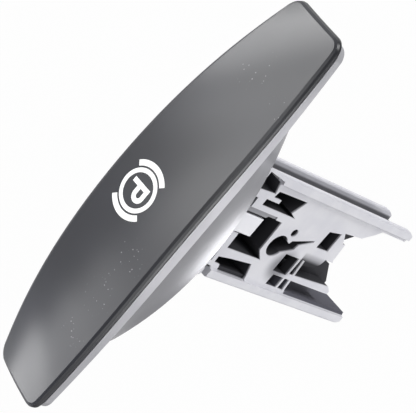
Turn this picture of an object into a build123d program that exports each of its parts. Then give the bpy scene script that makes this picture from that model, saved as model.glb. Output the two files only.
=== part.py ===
from build123d import *
import os

# Pull handle that releases a parking brake: a wide, slightly twisted face cover in
# front of a silver trim band, a hollow fairing that narrows towards the back, and a
# ribbed slide carriage with two C-shaped rails that runs in a guide behind the panel.
#
# Frame, in mm: the origin is on the axis of the slide, at the plane where the carriage
# leaves the fairing. +Y runs back along the slide, the face looks towards -Y, +X is to
# the viewer's right, +Z is up.

os.makedirs("parts", exist_ok=True)

# Where the head sits on the slide
head_x = 3.0  # middle of the face, beside the slide axis
head_y = -28.0  # front surface at the middle of the face
head_z = 0.4

# Face outline, seen from the front, about the middle of the face
face_half = 48.0  # half of the length
face_top_mid, face_top_end = 14.3, 11.8
face_low_mid, face_low_end = -9.3, -7.0
face_lean = 0.6  # fall of both long edges from the middle to the viewer's right
face_corner = 3.0
end_in = 1.0  # the layers behind the cover are this much shorter at each end

# Front surface: how far each edge lies back, at the middle and at the ends
top_back_mid, top_back_end = 1.0, 3.6
low_back_mid, low_back_end = 0.3, 8.9
face_crown = 0.6  # swell of the surface between its two long edges

# Layers of the head, measured back from the front surface
cover_depth = 1.5
cover_edge = 0.8  # rounding of the cover's rim
seam_gap = 0.3  # dark line between the cover and the band
seam_in = 0.5
band_mid, band_end = 3.0, 1.9  # width of the silver band
trim_width = 4.0
plate_thick = 2.0
fit = 0.3  # play between pieces that slide or snap together

# Hooks on the back of the cover
hook_x, hook_top_z, hook_low_z = 28.0, 4.2, -1.6
hook_w, hook_t, nose, nose_len = 6.0, 1.4, 0.7, 1.4

# Fairing
wall = 2.0
fairing_in = 0.9  # step from the band down to the fairing
fairing_end = 2.2  # how far its two ends are rounded out
rim_y = -4.0  # back end of the fairing
rim_shift = 3.5  # the rim's middle lies beside the face's
rim_half, rim_top, rim_low = 30.5, 7.8, -7.1
rim_top_end, rim_low_end = 2.3, -3.4

# Slide carriage
rail_half = 13.7  # half width over the rails
rail_half_h = 4.8  # half height over the flanges
groove_depth = 2.0
top_flange, low_flange = 1.8, 1.8
rail_wall = 0.9
rail_bevel = 0.3
rail_lead = 0.8  # slope at the free ends of the rails
web_drop = 0.8  # web below the top of the flanges
slide_front, slide_end = -16.0, 57.5
floor_z = -3.3  # floor of the blind pockets
skin = 1.6
rib = 1.0

# Seat for the end of the cable, and the channel by which the cable leaves
seat_x, seat_y, seat_r = 1.6, 17.7, 2.8
pin_hole_r = 1.0
trough_floor = 0.5
roll_r = 4.8  # the web rolls over into the trough

# Spring tongue on the fairing's plate that latches the carriage
tongue_left, tongue_right, tongue_tip = -2.9, 1.8, 6.9
tongue_under, tongue_thick = 1.7, 2.6
barb_len, barb_drop = 1.6, 1.2
boss_half, boss_low = 9.0, -4.2

trim_at = cover_depth + seam_gap
plate_mid, plate_end = trim_at + band_mid, trim_at + band_end
web_top = rail_half_h - web_drop
core_half = rail_half - groove_depth
slot_right = core_half - rail_wall
catch_y = tongue_tip - barb_len - fit
above = rail_half_h + 2.0
below = -rail_half_h - 2.0


def edge_top(x):
    """Height of the face's upper long edge at x from its middle."""
    s = x / face_half
    fall = 0.28 * s**2 + 0.72 * s**4
    return face_top_mid + (face_top_end - face_top_mid) * fall - face_lean * s


def edge_low(x):
    """Height of the face's lower long edge at x from its middle."""
    s = x / face_half
    rise = 1.2 * s**2 - 0.2 * s**4
    return face_low_mid + (face_low_end - face_low_mid) * rise - face_lean * s


def front_y(x, z):
    """How far back the front surface lies at x, z from the middle of the face."""
    s = abs(x) / face_half
    y_top = top_back_mid + (top_back_end - top_back_mid) * s**2
    y_low = low_back_mid + (low_back_end - low_back_mid) * s**2.2
    t = (z - edge_low(x)) / (edge_top(x) - edge_low(x))
    return y_low + (y_top - y_low) * t - face_crown * 4 * t * (1 - t)


def depth_at(x, mid, end):
    """Depth of a layer that changes from the middle of the face to its ends."""
    s = min(abs(x) / face_half, 1.0)
    return end + (mid - end) * (1 - s**2) ** 2


def across(x):
    """Upright plane across the handle; its sketch runs back along Y and up along Z."""
    return Plane(
        origin=(head_x + x, head_y, head_z), x_dir=(0, 1, 0), z_dir=(1, 0, 0)
    )


def facing(y, x=0.0, z=0.0):
    """Upright plane that looks forward at the given Y; its sketch runs in X and Z."""
    return Plane(origin=(x, y, z), x_dir=(1, 0, 0), z_dir=(0, -1, 0))


def head_block(mid, end, inset=0.0, shorter=0.0):
    """Everything inside the face outline and behind the front surface moved back.

    The surface is moved back by mid at the middle and by end at both ends; the
    outline is drawn in by inset all round and by shorter at both ends.
    """
    spare = 5.0
    far = rim_y - head_y + 40.0
    with BuildPart() as block:
        for i in range(-3, 4):
            x = i * (face_half + 4) / 3
            back = depth_at(x, mid, end)
            z_up, z_down = edge_top(x) + spare, edge_low(x) - spare
            z_mid = (z_up + z_down) / 2
            with BuildSketch(across(x)):
                with BuildLine():
                    up = (front_y(x, z_up) + back, z_up)
                    halfway = (front_y(x, z_mid) + back, z_mid)
                    low = (front_y(x, z_down) + back, z_down)
                    ThreePointArc(up, halfway, low)
                    Polyline(low, (far, z_down), (far, z_up), up)
                make_face()
        loft()
        e = face_half - shorter
        spots = [e * i / 2 for i in range(-2, 3)]
        with BuildPart(mode=Mode.INTERSECT):
            for y in (head_y - 15, head_y + far + 5):
                with BuildSketch(facing(y, head_x, head_z)) as shape:
                    with BuildLine():
                        Spline(*[(x, edge_top(x)) for x in spots])
                        Spline(*[(x, edge_low(x)) for x in spots])
                        for x in (-e, e):
                            Line((x, edge_top(x)), (x, edge_low(x)))
                    make_face()
                    fillet(shape.vertices(), face_corner)
                    if inset:
                        offset(amount=-inset)
            loft(ruled=True)
    return block.part


def fairing_ring(t, inset):
    """Cross-section of the fairing at a share t of the way from the band to the rim.

    It is arched above and below. In plan the fairing swells before it narrows, and
    from the side it is hollow, so the two run to the rim at different rates.
    """
    y = head_y + 2.0 + (rim_y - head_y - 2.0) * t
    plan, side = 1 - t**1.5, (1 - t) ** 1.6
    lean = face_lean * (1 - t)
    root_half = face_half - end_in - fairing_in

    def blend(root, rim, share):
        return rim + (root - rim) * share

    half = blend(root_half, rim_half, plan) - inset
    top = blend(face_top_mid + head_z, rim_top, side) - inset
    top_end = blend(face_top_end + head_z, rim_top_end, side) - inset
    low = blend(face_low_mid + head_z, rim_low, 1 - t) + inset
    low_end = blend(face_low_end + head_z, rim_low_end, 1 - t) + inset
    with BuildSketch(facing(y, head_x + rim_shift * (1 - plan), 0)) as ring:
        with BuildLine():
            z_mid = (top_end + low_end) / 2
            h = half - fairing_end / (2 if inset else 1)
            ThreePointArc((-h, top_end + lean), (0, top), (h, top_end - lean))
            ThreePointArc((-h, low_end + lean), (0, low), (h, low_end - lean))
            for side in (-1, 1):
                fall = side * lean
                corners = (side * h, top_end - fall), (side * h, low_end - fall)
                if inset:
                    Line(*corners)
                else:
                    ThreePointArc(corners[0], (side * half, z_mid - fall), corners[1])
        make_face()
    return ring.sketch


def fairing_solid(inset):
    """Solid that shrinks from the face outline to the rim along a hollow sweep.

    The space inside it, drawn in by inset, follows the sweep in three straight steps.
    """
    with BuildPart() as body:
        for t in (0, 0.33, 0.66, 1):
            add(fairing_ring(t, inset))
        loft(ruled=inset > 0)
    return body.part


def plan_spot(x, y):
    """Place in plan, as shares of the core's half width and of the slide's length."""
    return (x * core_half, y * slide_end)


def pocket(corners, z_low, z_high=above):
    """Prism over a plan outline, between two heights."""
    with BuildPart() as hole:
        with BuildSketch(Plane.XY.offset(z_low)):
            with BuildLine():
                Polyline(*corners, close=True)
            make_face()
        extrude(amount=z_high - z_low)
    return hole.part


def box_between(x0, x1, y0, y1, z0, z1):
    """Plain block between two corners."""
    with BuildPart() as block:
        with Locations(((x0 + x1) / 2, (y0 + y1) / 2, (z0 + z1) / 2)):
            Box(x1 - x0, y1 - y0, z1 - z0)
    return block.part


# Four hooks on the back of the cover: x and z of each, from the middle of the face,
# and the side towards which its nose points
hook_spots = [
    (side * hook_x, z, way)
    for side in (-1, 1)
    for z, way in ((hook_top_z, 1), (hook_low_z, -1))
]


def plate_back(hx, hz):
    """Rearmost Y of the front plate around a hook."""
    spots = [(hx + i * hook_w / 2, hz + k * hook_t) for i in (-1, 1) for k in (-1, 1)]
    back = max(front_y(x, z) + depth_at(x, plate_mid, plate_end) for x, z in spots)
    return head_y + back + plate_thick


# Face cover: a thin moulded skin with a rounded rim
with BuildPart() as face_cover:
    add(head_block(0.0, 0.0))
    # two bevels follow an arc of radius cover_edge round the rim
    for on_front, behind in ((0.414, 1.0), (0.586, 0.316)):
        shaped = face_cover.faces().filter_by(GeomType.BSPLINE)
        near = shaped.filter_by_position(Axis.Y, head_y - 5, head_y + low_back_end)
        front = near.sort_by(SortBy.AREA)[-1]
        chamfer(front.edges(), on_front * cover_edge, behind * cover_edge,
                reference=front)
    add(head_block(cover_depth, cover_depth, -2.0), mode=Mode.SUBTRACT)
    for hx, hz, side in hook_spots:
        y_skin = head_y + front_y(hx, hz) + cover_depth * 0.4
        y_plate = plate_back(hx, hz) + fit
        x0, z0 = head_x + hx, head_z + hz
        add(box_between(x0 - hook_w / 2, x0 + hook_w / 2, y_skin, y_plate + nose_len,
                        z0 - hook_t / 2, z0 + hook_t / 2))
        z_in, z_out = z0 + side * (hook_t / 2 - 0.2), z0 + side * (hook_t / 2 + nose)
        add(box_between(x0 - hook_w / 2, x0 + hook_w / 2, y_plate, y_plate + nose_len,
                        min(z_in, z_out), max(z_in, z_out)))
face_cover.part.label = "face_cover"
export_step(face_cover.part, "parts/face_cover.step")

# Trim: a silver ring that shows as a narrow band all round behind the cover, with a
# recessed step in front that makes the dark seam
with BuildPart() as trim_frame:
    add(head_block(trim_at, trim_at, 0.0, end_in))
    add(head_block(cover_depth, cover_depth, seam_in, end_in))
    add(head_block(plate_mid, plate_end, -2.0, end_in), mode=Mode.SUBTRACT)
    add(head_block(-3.0, -3.0, trim_width, end_in), mode=Mode.SUBTRACT)
trim_frame.part.label = "trim_frame"
export_step(trim_frame.part, "parts/trim_frame.step")

# Grip body: the hollow fairing with its front plate, the opening that the carriage
# passes through, the boss that its root seats on and the spring tongue that latches it
boss_front = head_y + plate_mid + plate_thick * 0.7
tongue_top = tongue_under + tongue_thick
with BuildPart() as grip_body:
    add(fairing_solid(0.0))
    add(head_block(plate_mid, plate_end, fairing_in, end_in), mode=Mode.INTERSECT)
    with BuildPart(mode=Mode.PRIVATE) as hollow:
        add(fairing_solid(wall))
        add(head_block(plate_mid + plate_thick, plate_end + plate_thick,
                       wall + fairing_in, end_in), mode=Mode.INTERSECT)
        reach = face_half + abs(head_x) + 10
        add(box_between(-reach, reach, rim_y - wall, rim_y + 20, -reach, reach),
            mode=Mode.SUBTRACT)
    add(hollow.part, mode=Mode.SUBTRACT)
    for hx, hz, side in hook_spots:
        x0, z0 = head_x + hx, head_z + hz
        z_a, z_b = z0 - side * (hook_t / 2 + fit), z0 + side * (hook_t / 2 + nose - fit)
        add(box_between(x0 - hook_w / 2 - fit, x0 + hook_w / 2 + fit, head_y - 2,
                        plate_back(hx, hz) + 0.1, min(z_a, z_b), max(z_a, z_b)),
            mode=Mode.SUBTRACT)
    add(box_between(-rail_half - fit, rail_half + fit, slide_front, rim_y + 5,
                    -rail_half_h - fit, rail_half_h + fit), mode=Mode.SUBTRACT)
    add(box_between(-boss_half, boss_half, boss_front, slide_front,
                    boss_low, tongue_under))
    add(box_between(tongue_left, tongue_right, boss_front, tongue_tip,
                    tongue_under, tongue_top))
    add(box_between(tongue_left, tongue_right, tongue_tip - barb_len, tongue_tip,
                    tongue_under - barb_drop, tongue_top - 0.2))
grip_body.part.label = "grip_body"
export_step(grip_body.part, "parts/grip_body.step")

# Slide carriage: a flat core between two outward C-rails, with blind pockets from
# above, cored out from below under the plain web, and a hollowed free end
blind_pockets = [
    # left of the tongue, with a light tab that stands into it
    [(-0.84, 0.092), (-0.86, 0.280), (-0.55, 0.245), (-0.48, 0.283), (-0.48, 0.057),
     (-0.62, 0.057), (-0.62, 0.137), (-0.70, 0.137), (-0.70, 0.085)],
    # short slit at the root
    [(-0.58, -0.030), (-0.58, 0.009), (-0.36, 0.011), (-0.36, -0.030)],
    # beside the right-hand rail
    [(0.73, 0.056), (0.86, 0.058), (0.87, 0.094), (0.923, 0.100), (0.923, 0.281),
     (0.65, 0.256), (0.69, 0.134)],
    # behind the seat, towards the left-hand rail
    [(-0.51, 0.528), (-0.56, 0.605), (-0.13, 0.607), (-0.12, 0.525)],
    # narrow groove along the root, right of the tongue
    [(0.19, 0.003), (0.19, 0.021), (0.85, 0.036), (0.85, 0.018)],
]
tongue_pocket = [
    (tongue_right + fit, 3.4), (6.1, 3.6), (6.0, 16.2), (3.9, 13.7),
    (-3.7, 13.4), (-3.7, 8.4), (tongue_left - fit, 8.0),
    (tongue_left - fit, catch_y), (tongue_right + fit, catch_y),
]
# the mouth of the seat narrows to a slit; offsets from the seat's centre
seat_mouth = [(-2.7, -0.7), (-1.5, 3.1), (-2.3, 3.5), (-4.3, 10.4), (-3.8, 10.4),
              (-1.9, 6.5), (-0.5, 6.1), (0.8, 3.3), (2.0, 0.5)]
end_notch = [(-0.60, 0.622), (-0.66, 0.80), (-0.40, 0.69), (-0.38, 0.66)]
end_outline = [(-0.925, 0.826), (-0.82, 0.798), (-0.62, 0.730), (-0.42, 0.673),
               (0.0, 0.682), (0.50, 0.772), (0.62, 0.809), (0.69, 0.809),
               (0.69, 1.1), (-0.925, 1.1)]
# below the trough's floor a lip reaches further out
lip_outline = end_outline[:5] + [(0.15, 0.695), (0.20, 0.775), (0.56, 0.842),
                                 (0.69, 0.842)] + end_outline[-2:]
window = [(0.215, 0.395), (0.62, 0.395), (0.62, 0.50), (0.215, 0.50)]
trough = [(0.04, 0.50), (0.575, 0.50), (0.525, 0.81), (0.525, 1.1), (0.04, 1.1)]

with BuildPart() as slide_carriage:
    with BuildSketch(facing(slide_front)):
        Rectangle(2 * core_half, 2 * rail_half_h)
        with Locations((0, rail_half_h - top_flange / 2)):
            Rectangle(2 * rail_half, top_flange)
        with Locations((0, -rail_half_h + low_flange / 2)):
            Rectangle(2 * rail_half, low_flange)
    extrude(amount=-(slide_end - slide_front))
    # bevelled outer edges and sloped free ends let the rails find their guide
    corners = slide_carriage.edges().filter_by(Axis.Y)
    chamfer(corners.group_by(Axis.X)[0] + corners.group_by(Axis.X)[-1], rail_bevel)
    for side in (-1, 1):
        tip = side * (rail_half - rail_lead)
        out = side * (rail_half + 1)
        add(pocket([(side * rail_half, slide_end - 2 * rail_lead), (tip, slide_end),
                    (tip, slide_end + 1), (out, slide_end + 1),
                    (out, slide_end - 2 * rail_lead)], below), mode=Mode.SUBTRACT)
    # the web lies a little below the flanges, with a soft hollow beside each rail
    with BuildSketch(facing(slide_front - 1)) as channel:
        with Locations((0, rail_half_h)):
            Rectangle(2 * core_half, 2 * web_drop)
        fillet(channel.vertices().group_by(Axis.Z)[0], web_drop * 0.9)
    extrude(amount=-(slide_end - slide_front + 2), mode=Mode.SUBTRACT)
    for corners in blind_pockets:
        add(pocket([plan_spot(*c) for c in corners], floor_z), mode=Mode.SUBTRACT)
    # the pocket round the tongue stops short of the seat, which leaves a curved rib
    with BuildPart(mode=Mode.PRIVATE) as well:
        add(pocket(tongue_pocket, floor_z))
        with Locations((seat_x, seat_y, 0)):
            Cylinder(seat_r + rib, 4 * rail_half_h, mode=Mode.SUBTRACT)
    add(well.part, mode=Mode.SUBTRACT)
    # low ledge beside the tongue
    add(box_between(tongue_left - fit - 1.2, tongue_left - fit, slide_front + 14, 11.0,
                    web_top - 0.3, above), mode=Mode.SUBTRACT)
    # seat for the cable's end, its tapered mouth and the hole of its pin
    with Locations((seat_x, seat_y, (floor_z + above) / 2)):
        Cylinder(seat_r, above - floor_z, mode=Mode.SUBTRACT)
    add(pocket([(seat_x + x, seat_y + y) for x, y in seat_mouth], floor_z),
        mode=Mode.SUBTRACT)
    with Locations((seat_x - 4.2, seat_y + 2.1, 0)):
        Cylinder(pin_hole_r, 4 * rail_half_h, mode=Mode.SUBTRACT)
    # the cable leaves over a window and a trough with a rolled edge
    add(pocket([plan_spot(*c) for c in window], floor_z), mode=Mode.SUBTRACT)
    with BuildPart(mode=Mode.PRIVATE) as channel:
        add(pocket([plan_spot(*c) for c in trough], trough_floor))
        (roll_x, near), (_, far) = plan_spot(*trough[0]), plan_spot(0, 0.635)
        axis = Plane(origin=(roll_x, (near + far) / 2, web_top - roll_r),
                     z_dir=(0, 1, 0))
        with Locations(axis):
            Cylinder(roll_r, far - near, mode=Mode.SUBTRACT)
    add(channel.part, mode=Mode.SUBTRACT)
    # slot beside the right-hand rail, open at the free end
    slot_left, slot_start = plan_spot(0.685, 0.416)
    add(box_between(slot_left, slot_right, slot_start, slide_end + 2, below, above),
        mode=Mode.SUBTRACT)
    # pair of thin ribs across the channel and the slot
    rib_left, rib_near = plan_spot(0.22, 0.487)
    rib_right = slot_right + rail_wall / 2
    add(box_between(rib_left, rib_right, rib_near, rib_near + 0.7,
                    web_top - 2.4, web_top))
    add(pocket([(rib_left, rib_near + 1.6), (rib_right, rib_near + 2.9),
                (rib_right, rib_near + 3.6), (rib_left, rib_near + 2.3)],
               web_top - 2.4, web_top))
    # free end
    add(pocket([plan_spot(*c) for c in end_notch], web_top - 1.2), mode=Mode.SUBTRACT)
    add(pocket([plan_spot(*c) for c in end_outline], trough_floor), mode=Mode.SUBTRACT)
    add(pocket([plan_spot(*c) for c in lip_outline], below, trough_floor),
        mode=Mode.SUBTRACT)
    # notches at the roots of both rails and channel for the spring tongue
    add(pocket([(-rail_half + 0.35, -3.0), (-rail_half + 1.2, 3.2), (-9.0, 4.6),
                (-8.6, -3.0)], floor_z), mode=Mode.SUBTRACT)
    add(box_between(rail_half - 2.6, rail_half + 1, 0.9, 3.2, 1.0, above),
        mode=Mode.SUBTRACT)
    add(box_between(tongue_left - fit, tongue_right + fit, slide_front - 1, tongue_tip,
                    tongue_under - fit, above), mode=Mode.SUBTRACT)
    # lowered top of the rail's wall along the pocket beside it
    near, far_end = plan_spot(0.9, 0.100), plan_spot(0.9, 0.281)
    add(box_between(near[0], core_half, near[1], far_end[1], web_top - 0.6, above),
        mode=Mode.SUBTRACT)
    # cored out from below
    for x0, x1, y0, y1 in ((-0.87, -0.36, 0.305, 0.500), (0.67, 0.90, 0.305, 0.395),
                           (-0.87, -0.40, -0.245, -0.060), (0.30, 0.87, -0.245, -0.010)):
        (xa, ya), (xb, yb) = plan_spot(x0, y0), plan_spot(x1, y1)
        add(box_between(xa, xb, ya, yb, below, web_top - skin), mode=Mode.SUBTRACT)
slide_carriage.part.label = "slide_carriage"
export_step(slide_carriage.part, "parts/slide_carriage.step")

for piece in (face_cover, trim_frame, grip_body, slide_carriage):
    print(piece.part.label, len(piece.part.solids()), round(piece.part.volume, 1),
          piece.part.is_valid)
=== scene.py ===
"""Dress the parking brake release handle for its picture.

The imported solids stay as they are. This file gives each of them the finish of the real
moulding, prints the round parking-brake sign on the cover, and sets up the floor, the
soft light and the camera of the photograph.
"""

from __future__ import annotations

import logging
import math
from dataclasses import dataclass, field
from enum import Enum
from typing import Any

import bmesh
import bpy
from mathutils import Euler, Matrix, Vector
from mathutils.bvhtree import BVHTree


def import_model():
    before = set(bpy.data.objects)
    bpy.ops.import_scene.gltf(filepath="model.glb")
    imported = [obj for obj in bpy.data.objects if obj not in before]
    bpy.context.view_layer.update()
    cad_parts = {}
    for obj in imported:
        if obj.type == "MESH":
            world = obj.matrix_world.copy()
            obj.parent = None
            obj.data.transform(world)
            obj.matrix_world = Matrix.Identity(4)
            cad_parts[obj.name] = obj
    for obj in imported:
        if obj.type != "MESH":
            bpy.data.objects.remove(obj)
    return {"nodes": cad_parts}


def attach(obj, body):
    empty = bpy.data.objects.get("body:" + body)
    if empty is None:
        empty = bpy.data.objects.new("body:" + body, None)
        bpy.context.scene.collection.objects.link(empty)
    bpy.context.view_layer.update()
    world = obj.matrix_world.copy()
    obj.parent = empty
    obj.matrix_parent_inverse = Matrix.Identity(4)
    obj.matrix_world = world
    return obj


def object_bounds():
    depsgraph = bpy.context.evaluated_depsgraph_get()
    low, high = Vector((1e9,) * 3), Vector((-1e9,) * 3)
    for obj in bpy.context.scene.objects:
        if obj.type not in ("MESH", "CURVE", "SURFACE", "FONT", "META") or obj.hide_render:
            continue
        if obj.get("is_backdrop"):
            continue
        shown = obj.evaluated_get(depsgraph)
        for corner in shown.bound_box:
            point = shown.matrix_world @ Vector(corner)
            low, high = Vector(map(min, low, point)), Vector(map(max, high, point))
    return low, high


log = logging.getLogger("handle")
MM = 0.001

# the curve of sRGB: straight up to its knee, a power above it
SRGB_KNEE = 0.04045
SRGB_SLOPE = 12.92
SRGB_OFFSET = 0.055
SRGB_POWER = 2.4

WHITE = (1.0, 1.0, 1.0, 1.0)


def linear(hex_code: str) -> tuple[float, float, float, float]:
    """Turn an sRGB hex colour into the linear colour that a shader takes.

    Args:
        hex_code: colour such as "#3c3d41".

    Returns:
        Linear red, green, blue and an alpha of 1.
    """
    parts = [int(hex_code[i : i + 2], 16) / 255 for i in (1, 3, 5)]
    red, green, blue = (
        p / SRGB_SLOPE
        if p <= SRGB_KNEE
        else ((p + SRGB_OFFSET) / (1 + SRGB_OFFSET)) ** SRGB_POWER
        for p in parts
    )
    return (red, green, blue, 1.0)


class Kind(Enum):
    """Kinds of node that the materials use, each with the settings that it needs."""

    PLACE = ("ShaderNodeTexCoord", {})
    AXES = ("ShaderNodeSeparateXYZ", {})
    CHANNELS = ("ShaderNodeSeparateColor", {})
    GAP = ("ShaderNodeVectorMath", {"operation": "DISTANCE"})
    NOISE = ("ShaderNodeTexNoise", {})
    CELLS = ("ShaderNodeTexVoronoi", {})
    BUMP = ("ShaderNodeBump", {})
    SOFT_RAMP = (
        "ShaderNodeMapRange", {"interpolation_type": "SMOOTHSTEP", "clamp": True}
    )
    STRAIGHT_RAMP = ("ShaderNodeMapRange", {"interpolation_type": "LINEAR"})
    PRODUCT = ("ShaderNodeMath", {"operation": "MULTIPLY"})
    GREATER_OF = ("ShaderNodeMath", {"operation": "MAXIMUM"})
    UNSIGNED = ("ShaderNodeMath", {"operation": "ABSOLUTE"})
    IS_LESS = ("ShaderNodeMath", {"operation": "LESS_THAN"})
    IS_MORE = ("ShaderNodeMath", {"operation": "GREATER_THAN"})
    # inputs 2 and 3 of this node are its numbers, and inputs 6 and 7 its colours, which
    # leave it by output 2
    BLEND = ("ShaderNodeMix", {"data_type": "FLOAT"})
    COLOUR_BLEND = ("ShaderNodeMix", {"data_type": "RGBA"})
    PLASTIC = ("ShaderNodeBsdfPrincipled", {})
    PAINT = ("ShaderNodeBsdfDiffuse", {})
    GLOW = ("ShaderNodeEmission", {})
    EITHER_SHADER = ("ShaderNodeMixShader", {})
    RAY = ("ShaderNodeLightPath", {})
    SURFACE_END = ("ShaderNodeOutputMaterial", {})
    SKY = ("ShaderNodeBackground", {})
    WORLD_END = ("ShaderNodeOutputWorld", {})


def add_node(
    tree: bpy.types.NodeTree,
    kind: Kind,
    inputs: dict[str | int, Any] | None = None,
) -> bpy.types.Node:
    """Add one node with the settings of its kind, its values and its links.

    Args:
        tree: node tree that gets the node.
        kind: kind of the node.
        inputs: value or source socket for each input, by name or number.

    Returns:
        The new node.
    """
    type_name, settings = kind.value
    node = tree.nodes.new(type_name)
    for name, value in settings.items():
        setattr(node, name, value)
    for name, value in (inputs or {}).items():
        if isinstance(value, bpy.types.NodeSocket):
            tree.links.new(value, node.inputs[name])
        else:
            node.inputs[name].default_value = value
    return node


@dataclass(frozen=True)
class Finish:
    """What every finish has: a name, and a tone that drifts slowly to a second one.

    The drift's size is in mm. Its limits are the levels of the noise between which the
    first tone turns into the second.
    """

    name: str
    tone: str
    second_tone: str
    drift_mm: float
    drift_detail: float
    drift_limits: tuple[float, float]

    def blank(self) -> tuple[bpy.types.Material, bpy.types.NodeTree]:
        """Make the material with an empty node tree.

        Returns:
            The material and its node tree.
        """
        material = bpy.data.materials.new(self.name)
        material.use_nodes = True
        material.node_tree.nodes.clear()
        return material, material.node_tree

    def drifting_tone(
        self, tree: bpy.types.NodeTree, place: bpy.types.NodeSocket
    ) -> bpy.types.NodeSocket:
        """Blend the two tones by a slow noise.

        Args:
            tree: node tree that gets the nodes.
            place: socket of the place on the piece.

        Returns:
            Socket of the colour.
        """
        noise = add_node(
            tree, Kind.NOISE,
            {
                "Vector": place,
                "Scale": 1 / (self.drift_mm * MM),
                "Detail": self.drift_detail,
            },
        )
        low, high = self.drift_limits
        share = add_node(
            tree, Kind.SOFT_RAMP,
            {"Value": noise.outputs[0], "From Min": low, "From Max": high},
        )
        return add_node(
            tree, Kind.COLOUR_BLEND,
            {
                0: share.outputs[0],
                6: linear(self.tone),
                7: linear(self.second_tone),
            },
        ).outputs[2]

    def close(
        self, tree: bpy.types.NodeTree, inputs: dict[str | int, Any]
    ) -> None:
        """End the node tree with the shader and the output.

        Args:
            tree: node tree that gets the nodes.
            inputs: values and source sockets of the shader.
        """
        shader = add_node(tree, Kind.PLASTIC, inputs)
        add_node(tree, Kind.SURFACE_END, {"Surface": shader.outputs[0]})


@dataclass(frozen=True)
class SoftTouchCover(Finish):
    """Anthracite soft-touch lacquer, sprayed on the moulded ABS cover.

    The lengths are in mm. A dust spot is X, Y, Z and reach.
    """

    # to the eye: nearly black, with broad soft reflections that draw the crown, no
    # sharp highlight, and a few pale specks of settled dust
    name: str = "soft_touch_lacquer_on_abs"
    tone: str = "#27282d"
    second_tone: str = "#2c2d33"
    drift_mm: float = 30.0
    drift_detail: float = 3.0
    drift_limits: tuple[float, float] = (0.35, 0.65)
    dust_tone: str = "#77777a"
    roughness: float = 0.32
    ior: float = 1.48
    # the real grit is about 0.05 mm, too fine to show, so it is drawn coarser
    grit_mm: float = 0.35
    grit_detail: float = 2.0
    grit_strength: float = 0.12
    grit_height_mm: float = 0.02
    # a speck lies in a cell, and its radius is a share of the cell; the dust is at its
    # fullest in the inner share of a spot's reach
    speck_cell_mm: float = 0.7
    speck_share_of_cell: float = 0.2
    cells_left_clean: float = 0.6
    full_dust_share: float = 0.4
    dust_spots: tuple[tuple[float, float, float, float], ...] = (
        (14.0, -27.4, 8.5, 5.0),
        (17.5, -27.4, 5.5, 3.0),
        (23.5, -27.0, 8.5, 4.5),
        (32.0, -26.2, 8.7, 4.0),
        (-30.0, -25.2, 2.0, 5.0),
        (-27.5, -26.0, 12.0, 3.0),
    )

    def dust(
        self, tree: bpy.types.NodeTree, place: bpy.types.NodeSocket
    ) -> bpy.types.NodeSocket:
        """Scatter specks of dust round the dust spots.

        Args:
            tree: node tree that gets the nodes.
            place: socket of the place on the piece.

        Returns:
            Socket that is above 0 where a speck lies.
        """
        cells = add_node(
            tree, Kind.CELLS,
            {"Vector": place, "Scale": 1 / (self.speck_cell_mm * MM)},
        )
        small = add_node(
            tree, Kind.IS_LESS,
            {0: cells.outputs["Distance"], 1: self.speck_share_of_cell},
        )
        draw = add_node(tree, Kind.CHANNELS, {0: cells.outputs["Color"]})
        taken = add_node(
            tree, Kind.IS_MORE, {0: draw.outputs[0], 1: self.cells_left_clean}
        )
        specks = add_node(
            tree, Kind.PRODUCT, {0: small.outputs[0], 1: taken.outputs[0]}
        )
        patches: Any = 0.0
        for x, y, z, reach in self.dust_spots:
            gap = add_node(tree, Kind.GAP, {0: place, 1: (x * MM, y * MM, z * MM)})
            near = add_node(
                tree, Kind.SOFT_RAMP,
                {
                    "Value": gap.outputs["Value"],
                    "From Min": reach * MM,
                    "From Max": self.full_dust_share * reach * MM,
                },
            )
            patches = add_node(
                tree, Kind.GREATER_OF, {0: patches, 1: near.outputs[0]}
            ).outputs[0]
        return add_node(
            tree, Kind.PRODUCT, {0: specks.outputs[0], 1: patches}
        ).outputs[0]

    def build(self) -> bpy.types.Material:
        """Make the material.

        Returns:
            The finished material.
        """
        material, tree = self.blank()
        place = add_node(tree, Kind.PLACE).outputs["Object"]
        grit = add_node(
            tree, Kind.NOISE,
            {
                "Vector": place,
                "Scale": 1 / (self.grit_mm * MM),
                "Detail": self.grit_detail,
            },
        )
        bump = add_node(
            tree, Kind.BUMP,
            {
                "Height": grit.outputs[0],
                "Strength": self.grit_strength,
                "Distance": self.grit_height_mm * MM,
            },
        )
        colour = add_node(
            tree, Kind.COLOUR_BLEND,
            {
                0: self.dust(tree, place),
                6: self.drifting_tone(tree, place),
                7: linear(self.dust_tone),
            },
        )
        self.close(
            tree,
            {
                "Base Color": colour.outputs[2],
                "Roughness": self.roughness,
                "IOR": self.ior,
                "Normal": bump.outputs[0],
            },
        )
        return material


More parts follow.
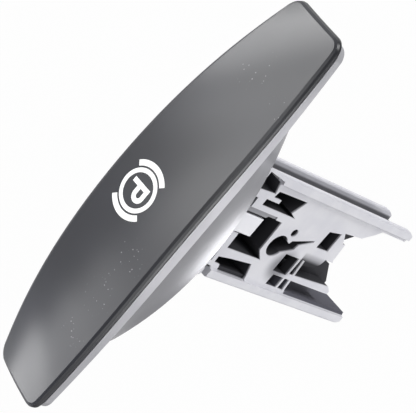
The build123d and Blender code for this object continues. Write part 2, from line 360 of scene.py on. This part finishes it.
@dataclass(frozen=True)
class SilverLacquer(Finish):
    """Silver lacquer sprayed on moulded ABS: metal flake under a satin clear coat.

    The lengths are in mm.
    """

    # to the eye: a cool, even grey that turns from bright to dark as the surface
    # turns, with no single flake to be seen
    name: str = "silver_lacquer_on_abs"
    tone: str = "#bcbcc1"
    second_tone: str = "#afafb5"
    drift_mm: float = 12.0
    drift_detail: float = 4.0
    drift_limits: tuple[float, float] = (0.3, 0.7)
    metallic: float = 0.25
    roughness: float = 0.38
    # the real flake is about 0.03 mm, too fine to show, so it is drawn coarser
    flake_mm: float = 0.3
    flake_detail: float = 1.0
    flake_strength: float = 0.08
    flake_height_mm: float = 0.01

    def build(self) -> bpy.types.Material:
        """Make the material.

        Returns:
            The finished material.
        """
        material, tree = self.blank()
        place = add_node(tree, Kind.PLACE).outputs["Object"]
        flake = add_node(
            tree, Kind.NOISE,
            {
                "Vector": place,
                "Scale": 1 / (self.flake_mm * MM),
                "Detail": self.flake_detail,
            },
        )
        bump = add_node(
            tree, Kind.BUMP,
            {
                "Height": flake.outputs[0],
                "Strength": self.flake_strength,
                "Distance": self.flake_height_mm * MM,
            },
        )
        self.close(
            tree,
            {
                "Base Color": self.drifting_tone(tree, place),
                "Metallic": self.metallic,
                "Roughness": self.roughness,
                "Normal": bump.outputs[0],
            },
        )
        return material


@dataclass(frozen=True)
class PaleAcetalWithPaintedShade(Finish):
    """Moulded acetal carriage, pale grey, with painted shade in its pockets, slot and
    grooves.

    All lengths are in mm. The pockets and the grooves of the rails are painted near-black
    as shade, and a painted shading fades in where the web rolls over into the trough.
    """

    # to the eye: pale, matt top faces with a slight cloudiness, beside pockets, slot
    # and grooves in a dull near-black that is painted shade
    name: str = "pale_acetal_with_painted_shade"
    tone: str = "#d9d9e1"
    second_tone: str = "#e3e3e9"
    drift_mm: float = 6.0
    drift_detail: float = 3.0
    drift_limits: tuple[float, float] = (0.3, 0.7)
    # painted shade: the near-black of the pockets, the rail grooves and the trough
    painted_shade_tone: str = "#333338"
    # painted shade, lighter, in the slot and along its edge
    painted_wall_shade_tone: str = "#55555f"
    # painted shade in the patch beside the seat of the cable's end
    seat_shade_tone: str = "#7e7e86"
    roughness: float = 0.5
    shade_roughness: float = 0.85
    ior: float = 1.48
    # the carriage, as it was packed
    web_top: float = 4.0
    core_half: float = 11.7
    groove_half: float = 3.02
    lip: float = 1.15
    rail_half: float = 13.7
    past_free_end: float = 60.0
    under_the_rails: float = -10.0
    # how far each edge of the painted shade is smeared to either side
    soft: float = 0.05
    core_soft: float = 0.1
    groove_soft: float = 0.3
    edge_soft: float = 0.3
    roll_soft: float = 0.5
    # depths under the web's top between which the painted shade sets in: at once in the
    # pockets, slowly as a painted shading of the roll into the trough
    pocket_fade: tuple[float, float] = (0.05, 0.55)
    roll_fade: tuple[float, float] = (-0.3, 0.7)
    roll_x: tuple[float, float] = (0.6, 6.3)
    roll_y: tuple[float, float] = (28.6, 40.0)
    # the grooves' painted shade starts a little inside the core
    groove_overlap: float = 0.2
    # the open slot, whose wall and the stretch along its edge get a lighter painted shade
    slot_x: tuple[float, float] = (7.6, 12.3)
    slot_from_y: float = 26.0
    edge_x: tuple[float, float] = (9.5, 12.3)
    edge_from_y: float = 31.8
    edge_over_top: float = 0.2
    # a patch of painted shade on the web beside the seat of the cable's end, darkest in
    # its inner share
    seat_shade_at: tuple[float, float, float] = (5.6, 24.2, 4.0)
    seat_shade_reach: float = 5.6
    darkest_shade_share: float = 0.3

    def between(
        self, tree: bpy.types.NodeTree, value: bpy.types.NodeSocket,
        low: float, high: float, soft: float,
    ) -> bpy.types.NodeSocket:
        """Tell where a length lies between two limits, with soft edges.

        Args:
            tree: node tree that gets the nodes.
            value: socket of the length in metres.
            low: lower limit in mm.
            high: upper limit in mm.
            soft: half the width of the soft edge in mm.

        Returns:
            Socket that is 1 between the limits and 0 outside them.
        """
        above = add_node(
            tree, Kind.SOFT_RAMP,
            {
                "Value": value,
                "From Min": (low - soft) * MM,
                "From Max": (low + soft) * MM,
            },
        )
        below = add_node(
            tree, Kind.SOFT_RAMP,
            {
                "Value": value,
                "From Min": (high + soft) * MM,
                "From Max": (high - soft) * MM,
            },
        )
        return add_node(
            tree, Kind.PRODUCT, {0: above.outputs[0], 1: below.outputs[0]}
        ).outputs[0]

    def pockets(
        self, tree: bpy.types.NodeTree, x: bpy.types.NodeSocket,
        y: bpy.types.NodeSocket, z: bpy.types.NodeSocket, width: bpy.types.NodeSocket,
    ) -> bpy.types.NodeSocket:
        """Find what lies deep enough under the web's top to get the painted shade.

        Args:
            tree: node tree that gets the nodes.
            x: socket of the place across the carriage.
            y: socket of the place along it.
            z: socket of the height.
            width: socket of the distance from the middle.

        Returns:
            Socket that is 1 where the pockets and the trough get the painted shade.
        """
        core = add_node(
            tree, Kind.SOFT_RAMP,
            {
                "Value": width,
                "From Min": (self.core_half + self.core_soft) * MM,
                "From Max": (self.core_half - self.core_soft) * MM,
            },
        )
        sharp, slow = (
            add_node(
                tree, Kind.SOFT_RAMP,
                {
                    "Value": z,
                    "From Min": (self.web_top - start) * MM,
                    "From Max": (self.web_top - end) * MM,
                },
            ).outputs[0]
            for start, end in (self.pocket_fade, self.roll_fade)
        )
        # painted shading on the roll into the trough
        roll = add_node(
            tree, Kind.PRODUCT,
            {
                0: self.between(tree, x, *self.roll_x, self.roll_soft),
                1: self.between(tree, y, *self.roll_y, self.roll_soft),
            },
        )
        depth = add_node(tree, Kind.BLEND, {0: roll.outputs[0], 2: sharp, 3: slow})
        return add_node(
            tree, Kind.PRODUCT, {0: depth.outputs[0], 1: core.outputs[0]}
        ).outputs[0]

    # where the painted shade lies: pockets, trough, rail grooves and the slot's edge
    def painted_shade_mask(
        self, tree: bpy.types.NodeTree, parts: bpy.types.Node
    ) -> bpy.types.NodeSocket:
        """Work out where the painted shade goes, and how much of it.

        Args:
            tree: node tree that gets the nodes.
            parts: node that splits the place into X, Y and Z.

        Returns:
            Socket that is 1 where the painted shade is full.
        """
        x, y, z = (parts.outputs[axis] for axis in "XYZ")
        width = add_node(tree, Kind.UNSIGNED, {0: x}).outputs[0]
        inside = self.pockets(tree, x, y, z, width)
        groove_from = self.core_half - self.groove_overlap
        groove_to = self.rail_half - self.lip
        # painted shade in the rail grooves
        groove = add_node(
            tree, Kind.PRODUCT,
            {
                0: self.between(tree, width, groove_from, groove_to, self.groove_soft),
                1: self.between(
                    tree, z, -self.groove_half, self.groove_half, self.soft
                ),
            },
        )
        # painted shade along the slot's edge, on the web's top too
        strip = add_node(
            tree, Kind.PRODUCT,
            {
                0: self.between(tree, x, *self.edge_x, self.soft),
                1: self.between(
                    tree, y, self.edge_from_y, self.past_free_end, self.edge_soft
                ),
            },
        )
        edge_top = self.web_top + self.edge_over_top
        edge = add_node(
            tree, Kind.PRODUCT,
            {
                0: strip.outputs[0],
                1: self.between(tree, z, self.under_the_rails, edge_top, self.soft),
            },
        )
        masked = add_node(
            tree, Kind.GREATER_OF, {0: groove.outputs[0], 1: edge.outputs[0]}
        )
        return add_node(
            tree, Kind.GREATER_OF, {0: inside, 1: masked.outputs[0]}
        ).outputs[0]

    # the pale top faces, with painted shade beside the seat of the cable's end
    def pale_tone(
        self, tree: bpy.types.NodeTree, place: bpy.types.NodeSocket
    ) -> bpy.types.NodeSocket:
        """Colour the pale top faces, with painted shade beside the seat of the cable's
        end.

        Args:
            tree: node tree that gets the nodes.
            place: socket of the place on the piece.

        Returns:
            Socket of the colour.
        """
        centre = tuple(length * MM for length in self.seat_shade_at)
        gap = add_node(tree, Kind.GAP, {0: place, 1: centre})
        # painted shade beside the seat, fullest in its inner share
        seat_shade_share = add_node(
            tree, Kind.SOFT_RAMP,
            {
                "Value": gap.outputs["Value"],
                "From Min": self.seat_shade_reach * MM,
                "From Max": self.darkest_shade_share * self.seat_shade_reach * MM,
            },
        )
        return add_node(
            tree, Kind.COLOUR_BLEND,
            {
                0: seat_shade_share.outputs[0],
                6: self.drifting_tone(tree, place),
                7: linear(self.seat_shade_tone),
            },
        ).outputs[2]

    # the colour of the painted shade
    def shade_colour(
        self, tree: bpy.types.NodeTree, parts: bpy.types.Node
    ) -> bpy.types.NodeSocket:
        """Colour the painted shade, a little lighter in the slot.

        Args:
            tree: node tree that gets the nodes.
            parts: node that splits the place into X, Y and Z.

        Returns:
            Socket of the colour.
        """
        x, y = parts.outputs["X"], parts.outputs["Y"]
        slot = add_node(
            tree, Kind.PRODUCT,
            {
                0: self.between(tree, x, *self.slot_x, self.soft),
                1: self.between(
                    tree, y, self.slot_from_y, self.past_free_end, self.soft
                ),
            },
        )
        return add_node(
            tree, Kind.COLOUR_BLEND,
            {
                0: slot.outputs[0],
                6: linear(self.painted_shade_tone),
                7: linear(self.painted_wall_shade_tone),
            },
        ).outputs[2]

    def build(self) -> bpy.types.Material:
        """Make the material.

        Returns:
            The finished material.
        """
        material, tree = self.blank()
        place = add_node(tree, Kind.PLACE).outputs["Object"]
        parts = add_node(tree, Kind.AXES, {0: place})
        # painted shade in place of the pale grey, where this mask says
        painted_shade_mask = self.painted_shade_mask(tree, parts)
        colour = add_node(
            tree, Kind.COLOUR_BLEND,
            {
                0: painted_shade_mask,
                6: self.pale_tone(tree, place),
                7: self.shade_colour(tree, parts),
            },
        )
        roughness = add_node(
            tree, Kind.STRAIGHT_RAMP,
            {
                "Value": painted_shade_mask,
                "To Min": self.roughness,
                "To Max": self.shade_roughness,
            },
        )
        self.close(
            tree,
            {
                "Base Color": colour.outputs[2],
                "Roughness": roughness.outputs[0],
                "IOR": self.ior,
            },
        )
        return material


@dataclass(frozen=True)
class PadPrint(Finish):
    """White two-part ink, put on by pad printing."""

    # to the eye: flat, opaque white with crisp edges and a slight gloss
    name: str = "white_pad_print_ink"
    tone: str = "#f6f6f6"
    second_tone: str = "#efefef"
    drift_mm: float = 0.8
    drift_detail: float = 2.0
    drift_limits: tuple[float, float] = (0.0, 1.0)
    roughness: float = 0.4
    ior: float = 1.5

    def build(self) -> bpy.types.Material:
        """Make the material.

        Returns:
            The finished material.
        """
        material, tree = self.blank()
        place = add_node(tree, Kind.PLACE).outputs["Object"]
        self.close(
            tree,
            {
                "Base Color": self.drifting_tone(tree, place),
                "Roughness": self.roughness,
                "IOR": self.ior,
            },
        )
        return material


@dataclass
class ParkingSign:
    """Round parking-brake sign printed on the cover: letter, ring and two brackets.

    The sign is drawn flat in mm, with X across it and Y up, and is then laid on the
    cover's front.
    """

    centre_mm: tuple[float, float] = (3.0, 0.4)
    bracket_out_mm: float = 6.25
    bracket_in_mm: float = 5.0
    ring_out_mm: float = 4.6
    ring_in_mm: float = 3.65
    # a bracket reaches this far to either side of its middle
    bracket_reach: float = math.radians(46)
    letter_height_mm: float = 5.0
    letter_width_mm: float = 4.0
    stroke_mm: float = 1.08
    letter_shift_mm: float = 0.3
    bowl_share: float = 0.33
    ring_steps: int = 64
    bracket_steps: int = 24
    bowl_steps: int = 14
    bar_columns: int = 4
    bar_rows: int = 12
    weld_mm: float = 0.001
    ink_mm: float = 0.01
    # the print stands clear of the flat facets of the crowned front
    lift_mm: float = 0.02
    look_from_mm: float = 100.0
    finish: PadPrint = field(default_factory=PadPrint)

    def arc_band(
        self, mesh: bmesh.types.BMesh, inner: float, outer: float,
        start: float, sweep: float, steps: int,
    ) -> None:
        """Add a flat band between two radii.

        Args:
            mesh: mesh that gets the band.
            inner: inner radius in mm.
            outer: outer radius in mm.
            start: first angle.
            sweep: angle that the band covers.
            steps: number of faces along the band.
        """
        turn = Matrix.Rotation(start, 4, "Z")
        first = [mesh.verts.new(turn @ Vector((r, 0, 0))) for r in (inner, outer)]
        edge = mesh.edges.new(first)
        bmesh.ops.spin(
            mesh, geom=[*first, edge], cent=(0, 0, 0), axis=(0, 0, 1),
            angle=sweep, steps=steps, use_merge=sweep == math.tau,
        )

    def bar(
        self, mesh: bmesh.types.BMesh, left: float, right: float,
        low: float, high: float,
    ) -> None:
        """Add a flat rectangle.

        Args:
            mesh: mesh that gets the rectangle.
            left: left edge in mm.
            right: right edge in mm.
            low: lower edge in mm.
            high: upper edge in mm.
        """
        place = Matrix.Translation(((left + right) / 2, (low + high) / 2, 0))
        place @= Matrix.Diagonal((right - left, high - low, 1, 1))
        # a size of 0.5 gives a square of 1, which the matrix stretches
        bmesh.ops.create_grid(
            mesh, x_segments=self.bar_columns, y_segments=self.bar_rows, size=0.5,
            matrix=place,
        )

    def letter(self, mesh: bmesh.types.BMesh) -> None:
        """Add the letter: a stem, two short bars and a bowl.

        Args:
            mesh: mesh that gets the letter.
        """
        high, low = self.letter_height_mm / 2, -self.letter_height_mm / 2
        left = self.letter_shift_mm - self.letter_width_mm / 2
        bowl = self.letter_height_mm * self.bowl_share
        turn_x = left + self.letter_width_mm - bowl
        self.bar(mesh, left, left + self.stroke_mm, low, high)
        for top in (high, high - 2 * bowl + self.stroke_mm):
            self.bar(mesh, left + self.stroke_mm, turn_x, top - self.stroke_mm, top)
        before = set(mesh.verts)
        self.arc_band(
            mesh, bowl - self.stroke_mm, bowl, -math.pi / 2, math.pi, self.bowl_steps
        )
        bmesh.ops.translate(
            mesh, verts=[v for v in mesh.verts if v not in before],
            vec=(turn_x, high - bowl, 0),
        )

    def lay_on(self, mesh: bmesh.types.BMesh, cover: bpy.types.Object) -> None:
        """Lay the flat sign before the cover's front, where the ink's face is.

        Args:
            mesh: mesh of the sign, which leaves the millimetres for metres.
            cover: the cover's object.
        """
        tree = BVHTree.FromObject(cover, bpy.context.evaluated_depsgraph_get())
        proud = (self.lift_mm + self.ink_mm) * MM
        for vert in mesh.verts:
            x = (self.centre_mm[0] + vert.co.x) * MM
            z = (self.centre_mm[1] + vert.co.y) * MM
            eye = Vector((x, -self.look_from_mm * MM, z))
            hit, _, _, _ = tree.ray_cast(eye, Vector((0, 1, 0)))
            vert.co = Vector((x, hit.y - proud, z))

    def build(self, cover: bpy.types.Object) -> bpy.types.Object:
        """Print the sign on the cover.

        Args:
            cover: the cover's object, whose front the print follows.

        Returns:
            The sign's object.
        """
        mesh = bmesh.new()
        self.letter(mesh)
        self.arc_band(
            mesh, self.ring_in_mm, self.ring_out_mm, 0.0, math.tau, self.ring_steps
        )
        for side in (0.0, math.pi):
            self.arc_band(
                mesh, self.bracket_in_mm, self.bracket_out_mm,
                side - self.bracket_reach, 2 * self.bracket_reach, self.bracket_steps,
            )
        bmesh.ops.remove_doubles(mesh, verts=mesh.verts[:], dist=self.weld_mm)
        self.lay_on(mesh, cover)
        bmesh.ops.recalc_face_normals(mesh, faces=mesh.faces[:])
        facing_back = [f for f in mesh.faces if f.normal.y > 0]
        bmesh.ops.reverse_faces(mesh, faces=facing_back)
        # a positive thickness grows behind the faces, so that they stay the outside
        bmesh.ops.solidify(mesh, geom=mesh.faces[:], thickness=self.ink_mm * MM)
        data = bpy.data.meshes.new("parking_sign_print")
        mesh.to_mesh(data)
        mesh.free()
        sign = bpy.data.objects.new("parking_sign_print", data)
        bpy.context.scene.collection.objects.link(sign)
        sign.data.materials.append(self.finish.build())
        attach(sign, "root")
        return sign


@dataclass
class Mouldings:
    """The four packed mouldings and the finish of each."""

    cover: SoftTouchCover = field(default_factory=SoftTouchCover)
    trim: SilverLacquer = field(default_factory=SilverLacquer)
    # the fairing's grey is darker and glossier, so it mirrors the low lamp behind it
    fairing: SilverLacquer = field(
        default_factory=lambda: SilverLacquer(
            name="grey_lacquer_on_abs", tone="#a6a6ab", second_tone="#9e9ea3",
            metallic=0.3, roughness=0.26,
        )
    )
    carriage: PaleAcetalWithPaintedShade = field(default_factory=PaleAcetalWithPaintedShade)

    def dress(self, nodes: dict[str, bpy.types.Object]) -> None:
        """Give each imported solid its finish.

        Args:
            nodes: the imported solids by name.
        """
        finishes = {
            "face_cover": self.cover,
            "trim_frame": self.trim,
            "grip_body": self.fairing,
            "slide_carriage": self.carriage,
        }
        for name, finish in finishes.items():
            material = finish.build()
            for slot in nodes[name].material_slots:
                slot.material = material
            log.info("%s: %s", name, material.name)


@dataclass(frozen=True)
class SoftLamp:
    """Square soft lamp that the camera doesn't see.

    The aim, the distance and the size are in mm and the power in watts. The direction
    runs from the aim to the lamp.
    """

    name: str
    aim: tuple[float, float, float]
    direction: tuple[float, float, float]
    distance: float
    size: float
    power: float

    def hang(self) -> None:
        """Add the lamp to the scene."""
        data = bpy.data.lights.new(self.name, "AREA")
        data.size = self.size * MM
        data.energy = self.power
        lamp = bpy.data.objects.new(self.name, data)
        bpy.context.scene.collection.objects.link(lamp)
        way = Vector(self.direction).normalized()
        lamp.location = (Vector(self.aim) + way * self.distance) * MM
        lamp.rotation_euler = way.to_track_quat("Z", "Y").to_euler()
        lamp.visible_camera = False


@dataclass
class Studio:
    """Pale floor, soft light and the photograph's camera."""

    # five large lamps light the handle: the key from the front, the side lamp across
    # the carriage, the top and the back lamp, and the low back lamp that the fairing
    # mirrors. The smaller, weaker ones hang low in front, where the satin cover
    # mirrors them: they give it its long gradient and light its two tips.
    lamps: tuple[SoftLamp, ...] = (
        SoftLamp("key", (0, 0, 0), (-0.1, -0.95, 0.3), 900, 420, 1.5),
        SoftLamp("side", (0, 0, 0), (-1, 0.15, 0.45), 900, 420, 4.0),
        SoftLamp("top", (0, 0, 0), (0.3, 0.1, 1), 900, 420, 1.3),
        SoftLamp("back", (0, 0, 0), (0.7, 0.5, 0.66), 900, 420, 1.0),
        SoftLamp("back_low", (0, 0, 0), (0.2, 0.88, 0.44), 900, 260, 1.4),
        SoftLamp("low_front", (0, -28, 0), (0.12, -0.92, -0.32), 450, 220, 0.18),
        SoftLamp("low_strip", (-8, -29, 7), (0.15, -0.93, -0.33), 300, 80, 0.17),
        SoftLamp("low_right", (24, -28, 9), (0.4, -0.8, -0.44), 44, 22, 0.0045),
        SoftLamp("right_low", (38, -25, 10), (0.46, -0.66, -0.6), 34, 20, 0.0035),
        SoftLamp("right_tip", (49, -19, 6), (0.5, -0.52, -0.69), 28, 18, 0.005),
        SoftLamp("left_end", (-43, -22, 2), (-0.1, -0.5, -0.86), 150, 60, 0.085),
        SoftLamp("left_tip", (-46, -20, 0), (-0.24, -0.3, -0.92), 100, 30, 0.015),
        SoftLamp("left_low", (-38, -24, 4), (-0.02, -0.84, -0.54), 200, 80, 0.11),
    )
    fill: float = 0.28
    floor_tone: str = "#f2f2f2"
    floor_drop_mm: float = 170.0
    floor_radius_mm: float = 6000.0
    floor_sides: int = 64
    # the camera sees this share of plain white; the rest is the lit paint with its
    # shadow
    white_share: float = 0.95
    lens_mm: float = 173.13
    sensor_mm: float = 36.0
    clip_mm: tuple[float, float] = (10.0, 50000.0)
    camera_mm: tuple[float, float, float] = (-89.38, -331.34, 226.54)
    camera_degrees: tuple[float, float, float] = (-48.196, -33.370, 138.342)

    def floor_paint(self) -> bpy.types.Material:
        """Make the floor's pale paint, which shows white where the camera sees it.

        Returns:
            The floor's material.
        """
        material = bpy.data.materials.new("pale_floor_paint")
        material.use_nodes = True
        tree = material.node_tree
        tree.nodes.clear()
        paint = add_node(tree, Kind.PAINT, {"Color": linear(self.floor_tone)})
        glow = add_node(tree, Kind.GLOW, {"Color": WHITE, "Strength": 1.0})
        ray = add_node(tree, Kind.RAY)
        seen = add_node(
            tree, Kind.PRODUCT, {0: ray.outputs["Is Camera Ray"], 1: self.white_share}
        )
        either = add_node(
            tree, Kind.EITHER_SHADER,
            {0: seen.outputs[0], 1: paint.outputs[0], 2: glow.outputs[0]},
        )
        add_node(tree, Kind.SURFACE_END, {"Surface": either.outputs[0]})
        return material

    def lay_floor(self, low: Vector, high: Vector) -> None:
        """Lay the round floor well under the handle.

        Args:
            low: lowest corner of the handle.
            high: highest corner of the handle.
        """
        middle = (low + high) / 2
        mesh = bmesh.new()
        bmesh.ops.create_circle(
            mesh, cap_ends=True, segments=self.floor_sides,
            radius=self.floor_radius_mm * MM,
        )
        bmesh.ops.translate(
            mesh, verts=mesh.verts[:],
            vec=(middle.x, middle.y, low.z - self.floor_drop_mm * MM),
        )
        data = bpy.data.meshes.new("floor")
        mesh.to_mesh(data)
        mesh.free()
        floor = bpy.data.objects.new("floor", data)
        bpy.context.scene.collection.objects.link(floor)
        floor.data.materials.append(self.floor_paint())
        floor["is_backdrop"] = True

    def light_world(self) -> None:
        """Light the world: a weak even fill that looks white behind the handle."""
        world = bpy.data.worlds.new("studio")
        bpy.context.scene.world = world
        world.use_nodes = True
        tree = world.node_tree
        tree.nodes.clear()
        ray = add_node(tree, Kind.RAY)
        direct = add_node(
            tree, Kind.GREATER_OF,
            {0: ray.outputs["Is Camera Ray"], 1: ray.outputs["Is Transmission Ray"]},
        )
        strength = add_node(
            tree, Kind.STRAIGHT_RAMP,
            {"Value": direct.outputs[0], "To Min": self.fill, "To Max": 1.0},
        )
        sky = add_node(
            tree, Kind.SKY, {"Color": WHITE, "Strength": strength.outputs[0]}
        )
        add_node(tree, Kind.WORLD_END, {"Surface": sky.outputs[0]})

    def set_camera(self) -> None:
        """Stand the camera where the photograph was taken from."""
        scene = bpy.context.scene
        data = bpy.data.cameras.new("camera")
        data.sensor_width = self.sensor_mm
        data.lens = self.lens_mm
        data.clip_start, data.clip_end = (length * MM for length in self.clip_mm)
        camera = bpy.data.objects.new("camera", data)
        scene.collection.objects.link(camera)
        camera.location = Vector(self.camera_mm) * MM
        turn = [math.radians(angle) for angle in self.camera_degrees]
        camera.rotation_euler = Euler(turn, "XYZ")
        scene.camera = camera
        scene.view_settings.view_transform = "Standard"

    def build(self, low: Vector, high: Vector) -> None:
        """Set up the floor, the world, the lamps and the camera.

        Args:
            low: lowest corner of the handle.
            high: highest corner of the handle.
        """
        self.lay_floor(low, high)
        self.light_world()
        for lamp in self.lamps:
            lamp.hang()
        self.set_camera()


def main() -> None:
    """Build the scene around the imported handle."""
    logging.basicConfig(level=logging.INFO, format="%(name)s: %(message)s")
    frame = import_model()
    cad_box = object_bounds()
    Mouldings().dress(frame["nodes"])
    sign = ParkingSign().build(frame["nodes"]["face_cover"])
    log.info("%s: %d faces", sign.name, len(sign.data.polygons))
    Studio().build(Vector(cad_box[0]), Vector(cad_box[1]))
    log.info("boxes written")


if __name__ == "__main__":
    main()
